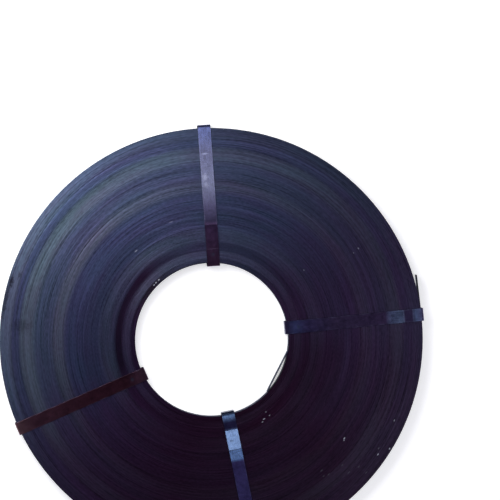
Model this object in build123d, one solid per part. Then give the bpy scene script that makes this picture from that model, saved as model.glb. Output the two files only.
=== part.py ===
"""A ribbon-wound coil of blued steel strapping, lying flat, with the four steel bands that tie it.

Millimetres. Z is the coil's axis and z = 0 is the floor. Angles are counter-clockwise from +X,
as seen from above.
"""

import os
from math import cos, radians, sin, sqrt

from build123d import *

# The strap and the winding
strap_width = 19.0
strap_thickness = 0.5
bore_radius = 96.0
# Turns that wandered sideways together, from the bore outwards: how many, and how far they stand up.
turn_groups = (
    (12, 0.20),
    (20, 0.85),
    (20, 0.00),
    (35, 0.45),
    (45, 0.30),
    (48, 0.45),
    (25, 0.75),
    (50, 0.50),
    (35, 0.80),
    (20, 0.30),
    (28, 0.60),
)

# The strap's outer free end, which leaves the rim at a slight angle
outer_end_angle = 9.8
outer_end_rise = 3.0
outer_end_length = 36.0

# The strap's inner free end, which runs straight across a short arc of the bore
inner_end_root_angle = -10.0
inner_end_tip_angle = -44.0
inner_end_tip_gap = 0.4
inner_end_root_depth = 3.0

# The bands that tie the coil
band_width = 16.0
band_thickness = 0.5
band_bend_radius = 3.0
band_crease_radius = 12.0
# The lower lapped end starts this far past the bore, and the weld sinks the upper one into it.
lap_start = 6.0
lap_weld_depth = 0.05

# Each band: its heading, how far its centre line passes to the left of the coil's axis, its gaps to
# the rim and the bore, its length of lap, and its creases as (distance from the bore, height above
# the coil). The first crease is the bend at the bore.
bands = {
    "tie_band_top": {
        "heading": 94.0,
        "offset": -8.5,
        "rim_gap": 2.8,
        "bore_gap": 2.4,
        "rim_height": 0.9,
        "lap_end": 19.0,
        "creases": ((0.0, 1.0), (49.0, 3.6)),
    },
    "tie_band_right": {
        "heading": 5.5,
        "offset": 5.8,
        "rim_gap": 1.6,
        "bore_gap": 2.4,
        "rim_height": 2.0,
        "lap_end": 23.0,
        "creases": ((0.0, 0.9), (23.0, 2.6), (131.0, 1.2), (146.0, 2.3), (160.0, 1.4)),
    },
    "tie_band_bottom": {
        "heading": -78.5,
        "offset": 0.9,
        "rim_gap": 1.6,
        "bore_gap": 3.0,
        "rim_height": 1.0,
        "lap_end": 44.0,
        "creases": ((0.0, 1.6), (8.0, 1.9), (19.0, 0.9), (44.0, 3.9), (57.0, 4.6)),
    },
    "tie_band_left": {
        "heading": 203.4,
        "offset": 5.4,
        "rim_gap": 1.2,
        "bore_gap": 2.4,
        "rim_height": 1.4,
        "lap_end": 22.0,
        "creases": ((0.0, 2.2), (11.0, 2.4), (22.0, 1.5)),
    },
}

# Sizes that follow
turns = sum(count for count, shift in turn_groups)
outer_radius = bore_radius + turns * strap_thickness
lowest_shift = min(shift for count, shift in turn_groups)
highest_shift = max(shift for count, shift in turn_groups)
coil_base = band_thickness - lowest_shift
coil_top = coil_base + highest_shift + strap_width


def point_at(radius, angle):
    """The point of the floor plan at this radius and angle."""
    return Vector(radius * cos(radians(angle)), radius * sin(radians(angle)))


def wound_turns():
    """The turned body: one section whose groups of turns each keep the strap's width."""
    underside = []
    radius = bore_radius
    for count, shift in turn_groups:
        underside.append((radius, coil_base + shift))
        radius += count * strap_thickness
        underside.append((radius, coil_base + shift))
    upper_side = [(r, z + strap_width) for r, z in reversed(underside)]
    section = make_face(Plane.XZ * Polyline(*underside, *upper_side, close=True))
    return revolve(section, Axis.Z)


def straight_strap(root, heading, start, length, base):
    """A straight length of strap on edge, its thickness to the right of its heading."""
    frame = Plane(root, x_dir=point_at(1, heading), z_dir=(0, 0, 1))
    size = Box(length - start, strap_thickness, strap_width, align=(Align.MIN, Align.MAX, Align.MIN))
    return frame * Pos(start, 0, base) * size


def outer_end():
    """The free end outside, from where it lies deepest in the rim to its tip."""
    root = point_at(outer_radius, outer_end_angle)
    heading = outer_end_angle + 90 - outer_end_rise
    start = -outer_radius * sin(radians(outer_end_rise))
    return straight_strap(root, heading, start, outer_end_length, coil_base + turn_groups[-1][1])


def inner_end():
    """The free end inside, a chord from the wall of the bore to just short of the wall."""
    root = point_at(bore_radius, inner_end_root_angle)
    chord = point_at(bore_radius, inner_end_tip_angle) - root
    chord_angle = (inner_end_root_angle - inner_end_tip_angle) / 2
    length = chord.length - inner_end_tip_gap / sin(radians(chord_angle))
    heading = inner_end_root_angle - 90 - chord_angle
    return straight_strap(root, heading, -inner_end_root_depth, length, coil_base + turn_groups[0][1])


def tie_band(heading, offset, rim_gap, bore_gap, rim_height, lap_end, creases):
    """A strip round the coil's section, from its lower lapped end to its upper one."""
    half = band_thickness / 2
    bore_face = sqrt(bore_radius**2 - (abs(offset) + band_width / 2) ** 2)
    bore_run = bore_face - bore_gap - half
    rim_run = outer_radius + strap_thickness + rim_gap + half
    above = coil_top + half
    rim_corner = (rim_run, above + rim_height)
    crest = [(bore_face + along, above + height) for along, height in creases]

    def height_at(along):
        """The height of the creased run, by straight lines between its creases."""
        runs = [*crest, rim_corner]
        for (u0, z0), (u1, z1) in zip(runs, runs[1:]):
            if bore_face + along <= u1:
                return z0 + (z1 - z0) * (bore_face + along - u0) / (u1 - u0)

    lift = band_thickness - lap_weld_depth
    middle = ((bore_run + rim_run) / 2, half)
    lower = [(bore_face + lap_start, height_at(lap_start))]
    lower += [point for point, crease in zip(crest, creases) if crease[0] > lap_start]
    upper = [(u, z + lift) for (u, z), crease in zip(crest, creases) if 0 < crease[0] < lap_end]
    outer_half = FilletPolyline(
        *lower,
        rim_corner,
        (rim_run, half),
        middle,
        radius=[band_crease_radius] * (len(lower) - 1) + [band_bend_radius] * 2,
    )
    inner_half = FilletPolyline(
        middle,
        (bore_run, half),
        (bore_run, crest[0][1] + lift),
        *upper,
        (bore_face + lap_end, height_at(lap_end) + lift),
        radius=[band_bend_radius] * 2 + [band_crease_radius] * len(upper),
    )
    halves = [
        extrude(Plane.XZ * trace(half_path, band_thickness), band_width / 2, both=True)
        for half_path in (outer_half, inner_half)
    ]
    frame = Plane((0, 0, 0), x_dir=point_at(1, heading), z_dir=(0, 0, 1))
    return frame * Pos(0, offset, 0) * (halves[0] + halves[1])


os.makedirs("parts", exist_ok=True)
export_step(wound_turns() + outer_end() + inner_end(), "parts/strapping_coil.step")
for name, sizes in bands.items():
    export_step(tie_band(**sizes), f"parts/{name}.step")
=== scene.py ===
"""Blued steel strapping: a ribbon-wound coil lying flat, held by four steel tie bands.

Metres, in the CAD frame: Z is the coil's axis, the floor is z = 0, and the photograph's right and
up are +X and +Y. Colours are sRGB hex values.
"""

from math import atan2, cos, pi, radians, sin, sqrt

import bpy
from mathutils import Matrix, Vector


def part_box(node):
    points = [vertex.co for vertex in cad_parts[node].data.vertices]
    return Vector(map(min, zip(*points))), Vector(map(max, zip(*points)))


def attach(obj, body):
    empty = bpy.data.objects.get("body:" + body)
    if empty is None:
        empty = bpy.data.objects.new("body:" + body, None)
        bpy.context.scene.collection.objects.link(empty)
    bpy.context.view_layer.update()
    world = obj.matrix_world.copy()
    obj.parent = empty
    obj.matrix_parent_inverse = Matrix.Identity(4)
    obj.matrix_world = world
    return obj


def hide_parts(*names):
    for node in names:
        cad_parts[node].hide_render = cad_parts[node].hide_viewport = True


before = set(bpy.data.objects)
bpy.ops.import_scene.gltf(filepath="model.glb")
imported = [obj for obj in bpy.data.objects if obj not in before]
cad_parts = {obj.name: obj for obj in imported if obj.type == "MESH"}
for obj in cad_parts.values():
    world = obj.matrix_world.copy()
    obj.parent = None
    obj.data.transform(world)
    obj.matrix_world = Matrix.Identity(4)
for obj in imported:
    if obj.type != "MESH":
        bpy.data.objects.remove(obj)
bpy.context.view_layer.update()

# The wound turns
# The strapping itself: one long strap of blued cold-rolled steel, wound on edge upon itself into a
# flat ring. What shows from above and below is the strap's slit edge, turn beside turn; groups of
# turns have wandered a little sideways together while it was wound.

MM = 0.001
STRAP_WIDTH = 19 * MM
STRAP_THICKNESS = 0.5 * MM
BORE_RADIUS = 96 * MM
# Turns in each group, from the bore outwards, how far the group stands up, and its temper tint: the
# strap's bluing drifted between slate, green-grey and plum along its length.
TURN_GROUPS = (
    (12, 0.20 * MM, "#1c1721"),
    (20, 0.85 * MM, "#393a4b"),
    (20, 0.00 * MM, "#1a1121"),
    (35, 0.45 * MM, "#343849"),
    (45, 0.30 * MM, "#2a2d44"),
    (48, 0.45 * MM, "#2d314a"),
    (25, 0.75 * MM, "#3d4151"),
    (50, 0.50 * MM, "#363c52"),
    (35, 0.80 * MM, "#424c59"),
    (20, 0.30 * MM, "#353c55"),
    (28, 0.60 * MM, "#3c455a"),
)
TURNS = sum(count for count, shift, tint in TURN_GROUPS)
RIM_RADIUS = BORE_RADIUS + TURNS * STRAP_THICKNESS
COIL_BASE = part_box("strapping_coil")[0].z
COIL_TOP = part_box("strapping_coil")[1].z
# About three turns of 0.5 mm are drawn as one ridge, because a single turn is finer than a pixel.
RIDGES = 110
RIDGE_PITCH = (RIM_RADIUS - BORE_RADIUS) / RIDGES
RIDGE_CROWN = 0.07 * MM
RIDGE_GAP = 0.16
RIDGE_LEAN = 0.008 * MM
RIDGE_SCATTER = 0.03 * MM
RIDGE_FOLD = radians(14)
# Turns also rise and fall in slow waves round the ring, which change from one ridge to the next.
WANDER = 0.12 * MM
WANDER_WAVES = 0.9
WANDER_CHANGE = 0.35
SEGMENTS = 144
SEED = 7
# A face whose normal leans up or down by less than this sine is a wall, of the bore, the rim or a group.
WALL_LEAN = 0.3
MATH = "ShaderNodeMath"
VECTOR = "ShaderNodeVectorMath"


def linear(colour):
    """An sRGB hex value as linear red, green, blue and alpha."""
    parts = [int(colour[i : i + 2], 16) / 255 for i in (1, 3, 5)]
    return (*[c / 12.92 if c <= 0.04045 else ((c + 0.055) / 1.055) ** 2.4 for c in parts], 1)


def add(tree, kind, *values, **named):
    """One node of a tree, and its first live output. Values fill its live sockets in order, names in
    capitals fill sockets, stops fill a colour ramp, and other names are settings."""
    node = tree.nodes.new(kind)
    stops = named.pop("stops", ())
    for name, value in named.items():
        if name[0].islower():
            setattr(node, name, value)
    filled = list(zip([socket for socket in node.inputs if socket.enabled], values))
    filled += [(node.inputs[n.replace("_", " ")], v) for n, v in named.items() if n[0].isupper()]
    for socket, value in filled:
        if isinstance(value, bpy.types.NodeSocket):
            tree.links.new(value, socket)
        else:
            socket.default_value = value
    for place, colour in stops[2:]:
        node.color_ramp.elements.new(place)
    for element, (place, colour) in zip(node.color_ramp.elements if stops else (), stops):
        element.position = place
        element.color = linear(colour)
    return next((socket for socket in node.outputs if socket.enabled), None)


def new_tree(name, sizes):
    """A geometry tree with a geometry input and one named input for each size."""
    tree = bpy.data.node_groups.new(name, "GeometryNodeTree")
    tree.interface.new_socket("Geometry", in_out="INPUT", socket_type="NodeSocketGeometry")
    tree.interface.new_socket("Geometry", in_out="OUTPUT", socket_type="NodeSocketGeometry")
    for size, kind in sizes.items():
        tree.interface.new_socket(size, in_out="INPUT", socket_type=f"NodeSocket{kind}")
    return tree, add(tree, "NodeGroupInput").node.outputs


def bake(obj, tree, values):
    """Runs a geometry tree on an object and returns the result as a new plain mesh object."""
    modifier = obj.modifiers.new(tree.name, "NODES")
    modifier.node_group = tree
    for item in tree.interface.items_tree:
        if item.in_out == "INPUT" and item.name in values:
            modifier[item.identifier] = values[item.name]
    evaluated = obj.evaluated_get(bpy.context.evaluated_depsgraph_get())
    mesh = bpy.data.meshes.new_from_object(evaluated)
    name = obj.name
    bpy.data.objects.remove(obj)
    mesh.name = name
    piece = bpy.data.objects.new(name, mesh)
    bpy.context.scene.collection.objects.link(piece)
    return piece


def smooth_faces(tree, mesh, sharpest):
    """Smooth shading, parted at the edges that fold by more than this angle."""
    smooth = "GeometryNodeSetShadeSmooth"
    mesh = add(tree, smooth, mesh, domain="FACE")
    fold = add(tree, "GeometryNodeInputMeshEdgeAngle")
    sharp = add(tree, MATH, fold, sharpest, operation="GREATER_THAN")
    return add(tree, smooth, mesh, Selection=sharp, Shade_Smooth=False, domain="EDGE")


def wound_turns_tree():
    """Turn beside turn from the bore to the rim and back below, as one closed ring of ridges."""
    tree, size = new_tree(
        "wound_turns",
        {
            "Bore radius": "Float",
            "Ridge pitch": "Float",
            "Ridges": "Int",
            "Turns per ridge": "Float",
            "Segments": "Int",
            "Strap width": "Float",
            "Base height": "Float",
            "Crown": "Float",
            "Gap share": "Float",
            "Lean": "Float",
            "Scatter": "Float",
            "Wander": "Float",
            "Seed": "Int",
            "Edge material": "Material",
            "Face material": "Material",
        },
    )
    # A grid whose rows follow the ring's section and whose columns follow its circle. A ridge has three
    # rows above and three below: an edge, the crown and an edge.
    ridge_rows = 3
    rows = add(tree, MATH, size["Ridges"], 2 * ridge_rows, operation="MULTIPLY")
    columns = add(tree, MATH, size["Segments"], 1, operation="ADD")
    last_row = add(tree, MATH, rows, 1, operation="ADD")
    grid = add(tree, "GeometryNodeMeshGrid", 1, 1, last_row, columns)
    index = add(tree, "GeometryNodeInputIndex")
    row = add(tree, MATH, index, columns, operation="DIVIDE")
    row = add(tree, MATH, row, operation="FLOOR")
    row = add(tree, MATH, row, rows, operation="MODULO")
    column = add(tree, MATH, index, columns, operation="MODULO")
    angle = add(tree, MATH, column, size["Segments"], operation="DIVIDE")
    angle = add(tree, MATH, angle, 2 * pi, operation="MULTIPLY")
    circle_x = add(tree, MATH, angle, operation="COSINE")
    circle_y = add(tree, MATH, angle, operation="SINE")

    # Rows go out along the top and come back below, and side is -1, 0 or 1 across each ridge.
    half = add(tree, MATH, rows, 2, operation="DIVIDE")
    middle = add(tree, MATH, row, 0.5, operation="ADD")
    below = add(tree, MATH, middle, half, operation="GREATER_THAN")
    step = add(tree, MATH, middle, half, operation="PINGPONG")
    ridge = add(tree, MATH, step, ridge_rows, operation="DIVIDE")
    ridge = add(tree, MATH, ridge, operation="FLOOR")
    side = add(tree, MATH, step, ridge_rows, operation="MODULO")
    side = add(tree, MATH, side, ridge_rows / 2, operation="SUBTRACT")
    reach = add(tree, MATH, size["Gap share"], -0.5, 0.5, operation="MULTIPLY_ADD")
    centre = add(tree, MATH, ridge, 0.5, operation="ADD")
    outward = add(tree, MATH, side, reach, centre, operation="MULTIPLY_ADD")
    radius = add(tree, MATH, outward, size["Ridge pitch"], size["Bore radius"], operation="MULTIPLY_ADD")

    # Each ridge stands up by its group's shift and a little of its own, and leans in or out.
    turn = add(tree, MATH, centre, size["Turns per ridge"], operation="MULTIPLY")
    height = add(tree, MATH, size["Base height"], TURN_GROUPS[0][1], operation="ADD")
    start = 0
    for group, next_group in zip(TURN_GROUPS, TURN_GROUPS[1:]):
        start += group[0]
        past = add(tree, MATH, turn, start, operation="GREATER_THAN")
        height = add(tree, MATH, past, next_group[1] - group[1], height, operation="MULTIPLY_ADD")
    random = "FunctionNodeRandomValue"
    own = add(tree, random, 0.0, 1.0, ID=ridge, Seed=size["Seed"], data_type="FLOAT")
    lean_seed = add(tree, MATH, size["Seed"], 1, operation="ADD")
    lean = add(tree, random, -1.0, 1.0, ID=ridge, Seed=lean_seed, data_type="FLOAT")
    drift = add(tree, MATH, ridge, WANDER_CHANGE, operation="MULTIPLY")
    drift = add(tree, "ShaderNodeCombineXYZ", circle_x, circle_y, drift)
    drift = add(tree, "ShaderNodeTexNoise", drift, WANDER_WAVES, 1.0)
    height = add(tree, MATH, own, size["Scatter"], height, operation="MULTIPLY_ADD")
    height = add(tree, MATH, drift, size["Wander"], height, operation="MULTIPLY_ADD")
    tip = add(tree, MATH, side, lean, operation="MULTIPLY")
    height = add(tree, MATH, tip, size["Lean"], height, operation="MULTIPLY_ADD")
    drop = add(tree, MATH, side, operation="ABSOLUTE")
    drop = add(tree, MATH, drop, size["Crown"], operation="MULTIPLY")
    upper = add(tree, MATH, size["Strap width"], drop, operation="SUBTRACT")
    level = add(tree, "ShaderNodeMix", below, upper, drop, data_type="FLOAT")
    height = add(tree, MATH, height, level, operation="ADD")
    x = add(tree, MATH, radius, circle_x, operation="MULTIPLY")
    y = add(tree, MATH, radius, circle_y, operation="MULTIPLY")
    place = add(tree, "ShaderNodeCombineXYZ", x, y, height)

    ring = add(tree, "GeometryNodeSetPosition", grid, Position=place)
    keep = "GeometryNodeStoreNamedAttribute"
    ring = add(tree, keep, ring, Name="ridge_tone", Value=own, data_type="FLOAT", domain="POINT")
    ring = add(tree, "GeometryNodeMergeByDistance", ring, Distance=0.01 * MM)
    ring = add(tree, "GeometryNodeFlipFaces", ring)
    ring = smooth_faces(tree, ring, RIDGE_FOLD)
    normal = add(tree, "GeometryNodeInputNormal")
    upright = add(tree, "ShaderNodeSeparateXYZ", normal).node.outputs["Z"]
    upright = add(tree, MATH, upright, operation="ABSOLUTE")
    wall = add(tree, MATH, upright, WALL_LEAN, operation="LESS_THAN")
    ring = add(tree, "GeometryNodeRealizeInstances", ring)
    ring = add(tree, "GeometryNodeSetMaterial", ring, Material=size["Edge material"])
    ring = add(tree, "GeometryNodeSetMaterial", ring, wall, Material=size["Face material"])
    add(tree, "NodeGroupOutput", ring)
    return tree


def polar(radius, angle):
    """A point of the floor plan."""
    return Vector((radius * cos(angle), radius * sin(angle), 0))


def new_material(name):
    """A node material, its tree and its shader."""
    material = bpy.data.materials.new(name)
    material.use_nodes = True
    return material, material.node_tree, material.node_tree.nodes["Principled BSDF"]


def mark_distance(tree, spot, place, half_length, half_width, turn=0):
    """How far a point is from a mark on the upper side, in shares of the mark's own half sizes. The mark
    is given in millimetres and fades out down the strap's width."""
    centre = (place[0] * MM, place[1] * MM, COIL_TOP)
    halves = (half_length * MM, half_width * MM, STRAP_WIDTH / 2)
    near = add(tree, "ShaderNodeMapping", spot, centre, (0, 0, turn), halves, vector_type="TEXTURE")
    return add(tree, VECTOR, near, operation="LENGTH")


# Streaks along the turns: width in millimetres, length in degrees, contrast and detail. The finest are
# drawn two or three turns wide, because a single turn is finer than a pixel.
STREAKS = (
    (9.0, 48, 0.46, 1.0),
    (3.2, 44, 0.56, 2.0),
    (1.6, 30, 1.00, 2.0),
    (1.3, 1.3, 0.60, 0.0),
)
DEEP_TURN_WIDTH = 1.4 * MM
DEEP_TURN_LENGTH = radians(60)
DEEP_TURN_SHADE = 0.3
RIDGE_TONE = 0.06
# One group's tint runs into the next over this share of its turns on either side.
TINT_BLEND = 0.18
PATCH_WIDTH = 13 * MM
PATCH_LENGTH = radians(24)
# Painted light and shade by the side of the ring: the slit edges are tinted darker, more plum or indigo,
# on the sides away from the lamp near the upper left, and some rings lighter towards it. Each: heading
# in degrees, tint, share, the cosine of the angle from that heading at which it starts and at which it
# has its full share, and the radii in millimetres that it keeps between. Some are for a few turns alone.
PAINTED_SIDE_LIGHT = (
    (75, "#3a425c", 0.4, 0.45, 0.95, 96, 265),
    (4, "#302039", 0.72, 0.47, 0.95, 96, 265),
    (236, "#352340", 0.7, 0.75, 0.97, 96, 265),
    (287, "#221121", 0.9, 0.1, 0.87, 96, 265),
    (184, "#271833", 0.6, 0.77, 0.98, 96, 112),
    (165, "#495465", 0.6, 0.82, 0.97, 251, 265),
    (78, "#2e3345", 0.6, 0.64, 0.87, 251, 265),
    (166, "#25243d", 0.45, 0.8, 0.97, 122, 139),
    (345, "#1a0e1a", 0.35, 0.93, 0.99, 96, 165),
    (326, "#3a3346", 0.25, 0.9, 0.985, 225, 265),
)
PAINTED_SIDE_LIGHT_BLEND = 2 * MM
# Bare nicks in the upper slit edges, in millimetres: place, half their length along the turn, brightness.
NICKS = (
    (-95.1, 111.2, 2.8, 0.30),
    (-51.4, 147.3, 3.4, 0.12),
    (-72.6, 68.6, 1.2, 0.8),
    (-70.2, 71.6, 1.3, 0.8),
    (-66.6, 75.2, 1.3, 0.8),
    (65.0, -99.4, 2.0, 0.7),
    (63.2, -103.0, 1.4, 0.5),
    (71.9, -95.0, 1.3, 0.4),
    (67.4, -90.6, 1.3, 0.3),
    (177.5, 108.6, 1.2, 0.3),
    (115.0, 87.0, 1.2, 0.4),
    (183.5, 114.2, 1.6, 0.5),
    (229.0, -102.0, 1.6, 0.5),
    (166.0, -124.2, 1.9, 0.8),
    (165.6, -126.6, 1.3, 0.5),
    (208.4, -144.6, 1.9, 0.8),
    (223.0, -137.4, 1.6, 0.8),
    (137.4, -164.5, 2.4, 0.10),
    (139.9, -171.4, 1.8, 0.08),
    (146.1, -169.3, 2.4, 0.09),
    (163.4, -157.8, 2.6, 0.08),
    (171.7, -167.2, 2.6, 0.11),
    (184.2, -159.9, 2.4, 0.10),
    (193.6, -167.2, 2.4, 0.09),
    (209.2, -137.0, 1.8, 0.15),
)
NICK_HALF_WIDTH = 0.9
BARE_STEEL = "#a8acb8"
# Dull dark smudges on the same side, in millimetres: place, half length along the turn, half width,
# strength. Grit breaks their outlines, and only the inner share of each has its full strength.
SMUDGES = (
    (-250.4, 73.2, 9.0, 4.2, 0.9),
    (-240.0, 81.8, 5.0, 2.4, 0.6),
    (-257.4, 50.5, 32.0, 3.4, 0.7),
    (-238.0, 18.0, 10.0, 15.0, 0.42),
)
GRIT_SIZE = 2.4 * MM
GRIT_BREAK = 1.4
SMUDGE_CORE = 0.3
GRIME = "#1a1a24"


def blued_strap_edges():
    """Blued cold-rolled steel, slit edges: a dull satin metal, streaked round the ring turn by turn."""
    material, tree, shader = new_material("blued_strap_edges")
    spot = add(tree, "ShaderNodeTexCoord").node.outputs["Object"]
    flat = add(tree, VECTOR, spot, (1, 1, 0), operation="MULTIPLY")
    radius = add(tree, VECTOR, flat, operation="LENGTH")
    facing = add(tree, VECTOR, flat, operation="NORMALIZE")
    share = add(tree, "ShaderNodeMapRange", radius, BORE_RADIUS, RIM_RADIUS)
    stops = []
    start = 0
    for count, shift, tint in TURN_GROUPS:
        stops += [((start + count * part) / TURNS, tint) for part in (TINT_BLEND, 1 - TINT_BLEND)]
        start += count
    colour = add(tree, "ShaderNodeValToRGB", share, stops=stops)
    # Painted light and shade: each side of the ring is tinted darker or lighter, as the upper-left lamp
    # would light it.
    for degrees, tint, most, faint, full, inner, outer in PAINTED_SIDE_LIGHT:
        heading = polar(1, radians(degrees))
        side = add(tree, VECTOR, facing, heading, operation="DOT_PRODUCT")
        side = add(tree, "ShaderNodeMapRange", side, faint, full, 0, most)
        within = add(tree, "ShaderNodeMapRange", radius, inner * MM - PAINTED_SIDE_LIGHT_BLEND, inner * MM)
        side = add(tree, MATH, side, within, operation="MULTIPLY")
        within = add(tree, "ShaderNodeMapRange", radius, outer * MM + PAINTED_SIDE_LIGHT_BLEND, outer * MM)
        side = add(tree, MATH, side, within, operation="MULTIPLY")
        colour = add(tree, "ShaderNodeMix", side, colour, linear(tint), data_type="RGBA")

    def streaks(width, length, detail, start=0):
        """Noise that is narrow outwards and long round the ring. Each start gives a pattern of its own."""
        out = add(tree, MATH, radius, 1 / width, start, operation="MULTIPLY_ADD")
        out = add(tree, "ShaderNodeCombineXYZ", 0, 0, out)
        reach = 1 / length
        along = add(tree, VECTOR, facing, (reach, reach, 0), out, operation="MULTIPLY_ADD")
        return add(tree, "ShaderNodeTexNoise", along, 1.0, detail)

    light = 1 - sum(contrast / 2 for width, length, contrast, detail in STREAKS)
    for width, length, contrast, detail in STREAKS:
        layer = streaks(width * MM, radians(length), detail)
        light = add(tree, MATH, layer, contrast, light, operation="MULTIPLY_ADD")
    # Painted shade: here and there a dark line round the ring stands for a turn lying a little deep.
    deep = streaks(DEEP_TURN_WIDTH, DEEP_TURN_LENGTH, detail=1.0, start=5.7)
    deep = add(tree, "ShaderNodeMapRange", deep, 0.58, 0.66, 0, -DEEP_TURN_SHADE)
    light = add(tree, MATH, light, deep, operation="ADD")
    tone = add(tree, "ShaderNodeAttribute", attribute_name="ridge_tone").node.outputs["Fac"]
    tone = add(tree, "ShaderNodeMapRange", tone, 0, 1, -RIDGE_TONE, RIDGE_TONE)
    light = add(tree, MATH, light, tone, operation="ADD")
    colour = add(tree, VECTOR, colour, light, operation="SCALE")

    # The temper also runs from green-grey to plum in long patches.
    patch = streaks(PATCH_WIDTH, PATCH_LENGTH, detail=2.0, start=7.3)
    stops = ((0.36, "#f5fffa"), (0.5, "#ffffff"), (0.64, "#fff2f9"))
    patch = add(tree, "ShaderNodeValToRGB", patch, stops=stops)
    colour = add(tree, VECTOR, colour, patch, operation="MULTIPLY")

    # Smudges and nicks lie along the turns.
    grit = add(tree, "ShaderNodeTexNoise", spot, 1 / GRIT_SIZE, 3.0)
    outline = 1 + GRIT_BREAK / 2
    core = SMUDGE_CORE + GRIT_BREAK / 2
    grime = 0
    for x, y, half_length, half_width, strength in SMUDGES:
        near = mark_distance(tree, spot, (x, y), half_length, half_width, atan2(y, x) + pi / 2)
        near = add(tree, MATH, grit, GRIT_BREAK, near, operation="MULTIPLY_ADD")
        near = add(tree, "ShaderNodeMapRange", near, outline, core, 0, strength)
        grime = add(tree, MATH, grime, near, operation="MAXIMUM")
    colour = add(tree, "ShaderNodeMix", grime, colour, linear(GRIME), data_type="RGBA")
    bare = 0
    for x, y, half_length, brightness in NICKS:
        near = mark_distance(tree, spot, (x, y), half_length, NICK_HALF_WIDTH, atan2(y, x) + pi / 2)
        near = add(tree, "ShaderNodeMapRange", near, 1.0, 0.5, 0, brightness)
        bare = add(tree, MATH, bare, near, operation="MAXIMUM")
    colour = add(tree, "ShaderNodeMix", bare, colour, linear(BARE_STEEL), data_type="RGBA")
    tree.links.new(colour, shader.inputs["Base Color"])
    shader.inputs["Metallic"].default_value = 1.0
    rough = add(tree, "ShaderNodeMapRange", light, 0.7, 1.3, 0.46, 0.34)
    tree.links.new(rough, shader.inputs["Roughness"])
    # Light spreads across the turns, as it does on any wound or turned face.
    shader.inputs["Anisotropic"].default_value = 0.3
    shader.inputs["Specular Tint"].default_value = linear("#c8cdd8")
    tree.links.new(facing, shader.inputs["Tangent"])
    return material


def blued_strap_face():
    """Blued cold-rolled steel, rolled face: a satin metal, darker than the slit edges, with roll lines."""
    material, tree, shader = new_material("blued_strap_face")
    spot = add(tree, "ShaderNodeTexCoord").node.outputs["Object"]
    roll_line = 0.8 * MM
    roll_length = 70 * MM
    grain = (1 / roll_length, 1 / roll_length, 1 / roll_line)
    along = add(tree, VECTOR, spot, grain, operation="MULTIPLY")
    lines = add(tree, "ShaderNodeTexNoise", along, 1.0, 3.0)
    stops = ((0.25, "#12131f"), (0.5, "#1b1e30"), (0.75, "#2b3148"))
    colour = add(tree, "ShaderNodeValToRGB", lines, stops=stops)
    tree.links.new(colour, shader.inputs["Base Color"])
    shader.inputs["Metallic"].default_value = 1.0
    shader.inputs["Specular Tint"].default_value = linear("#a4a8b6")
    rough = add(tree, "ShaderNodeMapRange", lines, 0.2, 0.8, 0.36, 0.50)
    tree.links.new(rough, shader.inputs["Roughness"])
    return material


EDGES = blued_strap_edges()
FACE = blued_strap_face()
blank = bpy.data.objects.new("wound_turns", bpy.data.meshes.new("wound_turns"))
bpy.context.scene.collection.objects.link(blank)
wound_turns = bake(
    blank,
    wound_turns_tree(),
    {
        "Bore radius": BORE_RADIUS,
        "Ridge pitch": RIDGE_PITCH,
        "Ridges": RIDGES,
        "Turns per ridge": TURNS / RIDGES,
        "Segments": SEGMENTS,
        "Strap width": STRAP_WIDTH,
        "Base height": COIL_BASE,
        "Crown": RIDGE_CROWN,
        "Gap share": RIDGE_GAP,
        "Lean": RIDGE_LEAN,
        "Scatter": RIDGE_SCATTER,
        "Wander": WANDER,
        "Seed": SEED,
        "Edge material": EDGES,
        "Face material": FACE,
    },
)
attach(wound_turns, "root")
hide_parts("strapping_coil")

# The strap's free ends
# The same strap where it isn't held: outside, its cut end stands off the rim just past a tie band;
# inside, it lies straight across a short arc of the bore. Sheared square, with plain cut edges.

OUTER_END_ANGLE = radians(9.8)
OUTER_END_RISE = radians(3)
OUTER_END_LENGTH = 36 * MM
INNER_END_ROOT = radians(-10)
INNER_END_TIP = radians(-44)
INNER_END_TIP_GAP = 0.4 * MM
INNER_END_ROOT_DEPTH = 3 * MM
STRAP_EDGE_RADIUS = 0.12 * MM
STRIP_FOLD = radians(20)


def strip_tree():
    """A flat strip swept along a path, its path's bends rounded to each point's own radius."""
    tree, size = new_tree(
        "steel_strip",
        {
            "Across": "Float",
            "Through": "Float",
            "Edge radius": "Float",
            "Bend steps": "Int",
            "Material": "Material",
        },
    )
    fillet = "GeometryNodeFilletCurve"
    bend = add(tree, "GeometryNodeInputRadius")
    steps = size["Bend steps"]
    path = add(tree, fillet, size["Geometry"], Radius=bend, Count=steps, Limit_Radius=True, mode="POLY")
    path = add(tree, "GeometryNodeSetCurveRadius", path, Radius=1.0)
    shape = "GeometryNodeCurvePrimitiveQuadrilateral"
    edge = add(tree, shape, Width=size["Across"], Height=size["Through"], mode="RECTANGLE")
    edge = add(tree, fillet, edge, Radius=size["Edge radius"], Count=2, Limit_Radius=True, mode="POLY")
    strip = add(tree, "GeometryNodeCurveToMesh", path, edge, Fill_Caps=True)
    strip = smooth_faces(tree, strip, STRIP_FOLD)
    strip = add(tree, "GeometryNodeRealizeInstances", strip)
    strip = add(tree, "GeometryNodeSetMaterial", strip, Material=size["Material"])
    add(tree, "NodeGroupOutput", strip)
    return tree


def path_curve(name, points, bend_radii):
    """A straight-sided path through these points, each carrying the radius of its bend."""
    curve = bpy.data.curves.new(name, "CURVE")
    curve.dimensions = "3D"
    spline = curve.splines.new("POLY")
    spline.points.add(len(points) - 1)
    for point, place, bend in zip(spline.points, points, bend_radii):
        point.co = (*place, 1)
        point.radius = bend
    path = bpy.data.objects.new(name, curve)
    bpy.context.scene.collection.objects.link(path)
    return path


STRIP = strip_tree()


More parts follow.
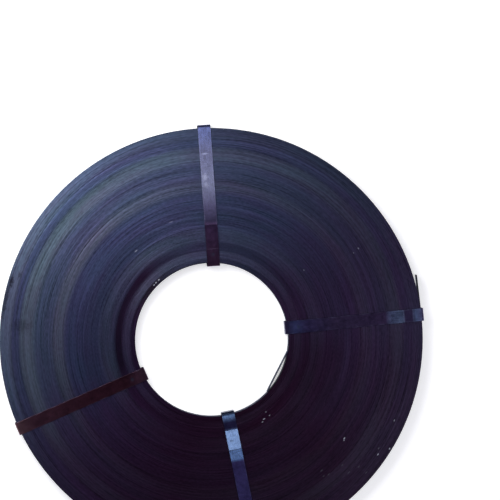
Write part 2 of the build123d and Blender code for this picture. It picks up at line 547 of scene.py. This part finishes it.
def strap_end(name, root, heading, start, end, base):
    """A straight length of strap on edge, its thickness to the right of its heading."""
    run = polar(1, heading)
    side = polar(STRAP_THICKNESS / 2, heading - pi / 2)
    middle = root + side + Vector((0, 0, base + STRAP_WIDTH / 2))
    piece = bake(
        path_curve(name, [middle + run * start, middle + run * end], [0, 0]),
        STRIP,
        {
            "Across": STRAP_THICKNESS,
            "Through": STRAP_WIDTH,
            "Edge radius": STRAP_EDGE_RADIUS,
            "Bend steps": 1,
            "Material": FACE,
        },
    )
    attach(piece, "root")


strap_end(
    "strap_outer_end",
    polar(RIM_RADIUS, OUTER_END_ANGLE),
    OUTER_END_ANGLE + pi / 2 - OUTER_END_RISE,
    -RIM_RADIUS * sin(OUTER_END_RISE),
    OUTER_END_LENGTH,
    COIL_BASE + TURN_GROUPS[-1][1],
)
chord_angle = (INNER_END_ROOT - INNER_END_TIP) / 2
strap_end(
    "strap_inner_end",
    polar(BORE_RADIUS, INNER_END_ROOT),
    INNER_END_ROOT - pi / 2 - chord_angle,
    -INNER_END_ROOT_DEPTH,
    2 * BORE_RADIUS * sin(chord_angle) - INNER_END_TIP_GAP / sin(chord_angle),
    COIL_BASE + TURN_GROUPS[0][1],
)

# The tie bands
# Four narrow strips of the same kind of steel, each wrapped by hand round the coil's section, creased
# where it was pulled over, and closed by lapping its ends near the bore and spot-welding them.

BAND_WIDTH = 16 * MM
BAND_THICKNESS = 0.5 * MM
BAND_BEND_RADIUS = 3 * MM
BAND_CREASE_RADIUS = 12 * MM
BAND_EDGE_RADIUS = 0.1 * MM
BAND_BEND_STEPS = 7
LAP_WELD_DEPTH = 0.05 * MM
WELD_HEAT = "#3c4858"
# The bluing is rubbed along the strip's edges: the wear starts this far in, and is full this far in.
RUB_START = 0.9 * MM
RUB_FULL = 0.2 * MM
RUBBED_STEEL = "#6a7088"
# In millimetres, as the table is: where the lower lapped end starts past the bore, and a weld's radius.
LAP_START = 6
WELD_RADIUS = 2.4
# Each band, in degrees and millimetres: heading, offset of its centre line to the left of the axis,
# gaps to the rim and the bore, height at the rim, length of lap, and creases as (distance from the
# bore, height over the coil). Its tints run from the bore outwards: partly the strip's temper colour,
# partly painted highlights and painted shade on the creased lengths and bends, by how they face the
# lamps. Its weld is (along, across), and its marks are (along, across, half length, half width, tint,
# strength); the top band's thin light line at its lap end is a painted highlight on the cut edge.
BANDS = {
    "tie_band_top": {
        "heading": 94.0,
        "offset": -8.5,
        "rim_gap": 2.8,
        "bore_gap": 2.4,
        "rim_height": 0.9,
        "lap_end": 19.0,
        "creases": ((0.0, 1.0), (49.0, 3.6)),
        "tints_and_painted_light": (
            (-6, "#402a3c"),
            (46, "#463450"),
            (54, "#2c293e"),
            (72, "#3c3a52"),
            (100, "#52556b"),
            (140, "#494b63"),
            (170, "#4f577f"),
            (174, "#2c2c40"),
        ),
        "weld": (12, 0),
        "marks_and_highlight": (
            # Painted highlight: a thin light line on the cut edge of the lap's end.
            (19, 0, 0.5, 9, "#807088", 0.4),
            (138, 2.0, 1.2, 5, "#9094b0", 0.3),
            (109, 3.4, 5.0, 3.6, "#7c7e92", 0.35),
            (99, 2.4, 4.0, 3.4, "#7c7e92", 0.35),
            (104, -0.6, 4.5, 2.6, "#3a3a50", 0.35),
            (118, -3.0, 7.0, 2.6, "#3a3a50", 0.25),
            (86, 1.0, 6.0, 3.0, "#3a3a50", 0.25),
        ),
    },
    "tie_band_right": {
        "heading": 5.5,
        "offset": 5.8,
        "rim_gap": 1.6,
        "bore_gap": 2.4,
        "rim_height": 2.0,
        "lap_end": 23.0,
        "creases": ((0.0, 0.9), (23.0, 2.6), (131.0, 1.2), (146.0, 2.3), (160.0, 1.4)),
        "tints_and_painted_light": (
            (-6, "#2c2036"),
            (10, "#3b3f63"),
            (24, "#352f4f"),
            (60, "#3a3049"),
            (124, "#362b45"),
            (131, "#4b526e"),
            (144, "#586580"),
            (149, "#272138"),
            (158, "#272138"),
            (163, "#5e6b8d"),
            (172, "#3d3454"),
        ),
        "weld": (14, 0),
        "marks_and_highlight": (),
    },
    "tie_band_bottom": {
        "heading": -78.5,
        "offset": 0.9,
        "rim_gap": 1.6,
        "bore_gap": 3.0,
        "rim_height": 1.0,
        "lap_end": 44.0,
        "creases": ((0.0, 1.6), (8.0, 1.9), (19.0, 0.9), (44.0, 3.9), (57.0, 4.6)),
        "tints_and_painted_light": (
            (-4, "#14161f"),
            (0, "#20283c"),
            (2, "#6a86b0"),
            (10, "#2e2b4a"),
            (17, "#2e2b4a"),
            (20, "#586c8e"),
            (44, "#566a8c"),
            (46, "#6d8cbc"),
            (57, "#6d8cbc"),
            (60, "#443e6a"),
        ),
        "weld": (33.6, -2),
        "marks_and_highlight": (),
    },
    "tie_band_left": {
        "heading": 203.4,
        "offset": 5.4,
        "rim_gap": 1.2,
        "bore_gap": 2.4,
        "rim_height": 1.4,
        "lap_end": 22.0,
        "creases": ((0.0, 2.2), (11.0, 2.4), (22.0, 1.5)),
        "tints_and_painted_light": (
            (-6, "#3e2c38"),
            (12, "#3e2632"),
            (24, "#331b24"),
            (80, "#3c212b"),
            (150, "#482e38"),
            (172, "#6a4e52"),
        ),
        "weld": (16, 0),
        "marks_and_highlight": (),
    },
}


def blued_band(name, heading, offset, bore_face, tints_and_painted_light, weld, marks_and_highlight):
    """Blued strip steel, rolled: smoother than the slit edges, tinted along its length partly by how hot
    each length ran and partly with painted highlights and shade on its creased facets and bends, with
    rubbed edges and a heat-greyed dimple where the lap was spot-welded."""
    material, tree, shader = new_material(f"blued_{name}")
    spot = add(tree, "ShaderNodeTexCoord").node.outputs["Object"]
    turn = (0, 0, heading)
    root = polar(bore_face, heading) + polar(offset, heading + pi / 2)
    local = add(tree, "ShaderNodeMapping", spot, root, turn, (1, 1, 1), vector_type="TEXTURE")
    along, across = add(tree, "ShaderNodeSeparateXYZ", local).node.outputs[:2]
    first = tints_and_painted_light[0][0]
    length = tints_and_painted_light[-1][0] - first
    share = add(tree, "ShaderNodeMapRange", along, first * MM, (first + length) * MM)
    # Painted light and shade: the stops carry the highlights and shade of the band's facets as well as its
    # temper colour.
    stops = [((at - first) / length, tint) for at, tint in tints_and_painted_light]
    colour = add(tree, "ShaderNodeValToRGB", share, stops=stops)

    roll_line = 0.7 * MM
    roll_length = 16 * MM
    grain = (1 / roll_length, 1 / roll_line, 1 / roll_length)
    rolled = add(tree, VECTOR, local, grain, operation="MULTIPLY")
    lines = add(tree, "ShaderNodeTexNoise", rolled, 1.0, 2.0)
    blotch_size = 9 * MM
    blotches = add(tree, "ShaderNodeTexNoise", local, 1 / blotch_size, 4.0)
    mottle_size = 3.2 * MM
    mottle = add(tree, "ShaderNodeTexNoise", local, 1 / mottle_size, 2.0)
    contrasts = ((blotches, 0.8), (lines, 0.7), (mottle, 0.9))
    light = 1 - sum(contrast / 2 for pattern, contrast in contrasts)
    for pattern, contrast in contrasts:
        light = add(tree, MATH, pattern, contrast, light, operation="MULTIPLY_ADD")
    colour = add(tree, VECTOR, colour, light, operation="SCALE")
    # Marks on the band, and a painted highlight on one lap's cut edge.
    for mark_along, mark_across, half_length, half_width, tint, strength in marks_and_highlight:
        near = mark_distance(tree, local, (mark_along, mark_across), half_length, half_width)
        near = add(tree, "ShaderNodeMapRange", near, 1.2, 0.4, 0, strength)
        colour = add(tree, "ShaderNodeMix", near, colour, linear(tint), data_type="RGBA")

    edge = add(tree, MATH, across, operation="ABSOLUTE")
    edge = add(tree, "ShaderNodeMapRange", edge, BAND_WIDTH / 2 - RUB_START, BAND_WIDTH / 2 - RUB_FULL)
    rub = add(tree, "ShaderNodeMapRange", blotches, 0.45, 0.65, 0.05, 0.4)
    rub = add(tree, MATH, edge, rub, operation="MULTIPLY")
    colour = add(tree, "ShaderNodeMix", rub, colour, linear(RUBBED_STEEL), data_type="RGBA")

    dimple = mark_distance(tree, local, weld, WELD_RADIUS, WELD_RADIUS)
    heat = add(tree, "ShaderNodeMapRange", dimple, 1.3, 0.5, 0, 0.45)
    colour = add(tree, "ShaderNodeMix", heat, colour, linear(WELD_HEAT), data_type="RGBA")
    tree.links.new(colour, shader.inputs["Base Color"])
    shader.inputs["Metallic"].default_value = 1.0
    shader.inputs["Specular Tint"].default_value = linear("#bcbfce")
    rough = add(tree, "ShaderNodeMapRange", blotches, 0.3, 0.7, 0.17, 0.24)
    tree.links.new(rough, shader.inputs["Roughness"])
    depth = add(tree, "ShaderNodeMapRange", dimple, 0.4, 1.0, 0, 1)
    depth = add(tree, MATH, lines, 0.15, depth, operation="MULTIPLY_ADD")
    bump = add(tree, "ShaderNodeBump", Strength=0.3, Distance=0.1 * MM, Height=depth)
    tree.links.new(bump, shader.inputs["Normal"])
    return material


def band_path(heading, offset, bore_face, rim_gap, bore_gap, rim_height, lap_end, creases):
    """The band's path round the coil's section, from its lower lapped end to its upper one."""
    half = BAND_THICKNESS / 2
    bore_run = bore_face - bore_gap * MM - half
    rim_run = RIM_RADIUS + STRAP_THICKNESS + rim_gap * MM + half
    above = COIL_TOP + half
    corners = [(bore_face + along * MM, above + rise * MM) for along, rise in creases]
    corners.append((rim_run, above + rim_height * MM))

    def on_run(along):
        """The point of the creased run at this distance from the bore."""
        u = bore_face + along * MM
        for (u0, z0), (u1, z1) in zip(corners, corners[1:]):
            if u <= u1:
                return u, z0 + (z1 - z0) * (u - u0) / (u1 - u0)

    lift = BAND_THICKNESS - LAP_WELD_DEPTH
    outward = [corner for corner, crease in zip(corners, creases) if crease[0] > LAP_START]
    lapped = [(u, z + lift) for (u, z), crease in zip(corners, creases) if 0 < crease[0] < lap_end]
    end_u, end_z = on_run(lap_end)
    flat = [on_run(LAP_START), *outward, corners[-1], (rim_run, half), (bore_run, half)]
    flat += [(bore_run, corners[0][1] + lift), *lapped, (end_u, end_z + lift)]
    bends = [0] + [BAND_CREASE_RADIUS] * len(outward) + [BAND_BEND_RADIUS] * 4
    bends += [BAND_CREASE_RADIUS] * len(lapped) + [0]
    run = polar(1, heading)
    left = polar(offset, heading + pi / 2)
    return [run * u + left + Vector((0, 0, z)) for u, z in flat], bends


def tie_band(node, heading, offset, tints_and_painted_light, weld, marks_and_highlight, **section):
    """One band, bent round the coil's section at its heading."""
    name = node.replace("tie_band", "band")
    heading = radians(heading)
    offset = offset * MM
    bore_face = sqrt(BORE_RADIUS**2 - (abs(offset) + BAND_WIDTH / 2) ** 2)
    piece = bake(
        path_curve(name, *band_path(heading, offset, bore_face, **section)),
        STRIP,
        {
            "Across": BAND_WIDTH,
            "Through": BAND_THICKNESS,
            "Edge radius": BAND_EDGE_RADIUS,
            "Bend steps": BAND_BEND_STEPS,
            "Material": blued_band(name, heading, offset, bore_face, tints_and_painted_light, weld, marks_and_highlight),
        },
    )
    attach(piece, "root")
    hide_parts(node)


for node, sizes in BANDS.items():
    tie_band(node, **sizes)

# The floor and the light
# A plain white floor in an evenly lit room, a soft lamp near the upper left, whose light falls off
# across the coil, a weak one opposite, and a pale ceiling panel that the creased bands catch.

FLOOR_HALF = 6.0
# Seen straight or mirrored, the floor is lifted to white, but it throws no more light on the coil.
FLOOR_GLOW = 0.55
floor_mesh = bpy.data.meshes.new("floor")
corners = [(x * FLOOR_HALF, y * FLOOR_HALF, 0) for x, y in ((-1, -1), (1, -1), (1, 1), (-1, 1))]
floor_mesh.from_pydata(corners, [], [(0, 1, 2, 3)])
floor = bpy.data.objects.new("floor", floor_mesh)
bpy.context.scene.collection.objects.link(floor)
floor_material, tree, shader = new_material("white_floor")
shader.inputs["Base Color"].default_value = linear("#e6e6e6")
shader.inputs["Roughness"].default_value = 0.9
rays = add(tree, "ShaderNodeLightPath").node.outputs
seen = add(tree, MATH, rays["Is Camera Ray"], rays["Is Glossy Ray"], operation="MAXIMUM")
seen = add(tree, MATH, seen, rays["Is Transmission Ray"], operation="MAXIMUM")
seen = add(tree, MATH, seen, FLOOR_GLOW, operation="MULTIPLY")
glow = add(tree, "ShaderNodeEmission", Strength=seen)
both = add(tree, "ShaderNodeAddShader", shader.outputs[0], glow)
tree.links.new(both, tree.nodes["Material Output"].inputs["Surface"])
floor_mesh.materials.append(floor_material)

world = bpy.data.worlds.new("room")
bpy.context.scene.world = world
world.use_nodes = True
tree = world.node_tree
direction = add(tree, "ShaderNodeTexCoord").node.outputs["Generated"]
up = add(tree, "ShaderNodeSeparateXYZ", direction).node.outputs["Z"]
stops = ((0.0, "#f0f0f0"), (0.2, "#cacaca"), (0.55, "#9e9eaa"), (1.0, "#8a8a9c"))
room = add(tree, "ShaderNodeValToRGB", up, stops=stops)
tree.links.new(room, tree.nodes["Background"].inputs["Color"])

# Each lamp: its place, the point it faces, its sides and its power in watts.
LAMPS = {
    "soft_lamp": ((-0.42, 0.46, 0.8), (-0.1, 0.1, 0), (0.6, 0.6), 7.8),
    "fill_lamp": ((0.62, -0.25, 1.0), (0.1, -0.05, 0), (0.6, 0.6), 0.9),
    "ceiling_panel": ((-0.05, 0.68, 4.5), (0, 0, 0), (0.8, 0.6), 5.8),
}
for name, (place, target, sides, power) in LAMPS.items():
    light = bpy.data.lights.new(name, "AREA")
    light.shape = "RECTANGLE"
    light.size, light.size_y = sides
    light.energy = power
    lamp = bpy.data.objects.new(name, light)
    bpy.context.scene.collection.objects.link(lamp)
    lamp.location = place
    lamp.visible_camera = False
    lamp.rotation_euler = (Vector(target) - lamp.location).to_track_quat("-Z", "Y").to_euler()

# The camera
# A long lens almost straight above, leaning a little to the left, framed as the photograph is.

FOCAL_LENGTH = 200
CAMERA_DISTANCE = 3.474
CAMERA_LEAN = radians(3.5)
CAMERA_SIDE = radians(165)
FRAME_CENTRE = Vector((0.0474, 0.1123, COIL_TOP))
toward = polar(sin(CAMERA_LEAN), CAMERA_SIDE) + Vector((0, 0, cos(CAMERA_LEAN)))
right = Vector((0, 1, 0)).cross(toward).normalized()
axes = Matrix((right, toward.cross(right), toward)).transposed()
camera_data = bpy.data.cameras.new("camera")
camera_data.lens = FOCAL_LENGTH
camera = bpy.data.objects.new("camera", camera_data)
bpy.context.scene.collection.objects.link(camera)
camera.matrix_world = Matrix.Translation(FRAME_CENTRE + toward * CAMERA_DISTANCE) @ axes.to_4x4()
bpy.context.scene.camera = camera
bpy.context.scene.view_settings.view_transform = "Standard"
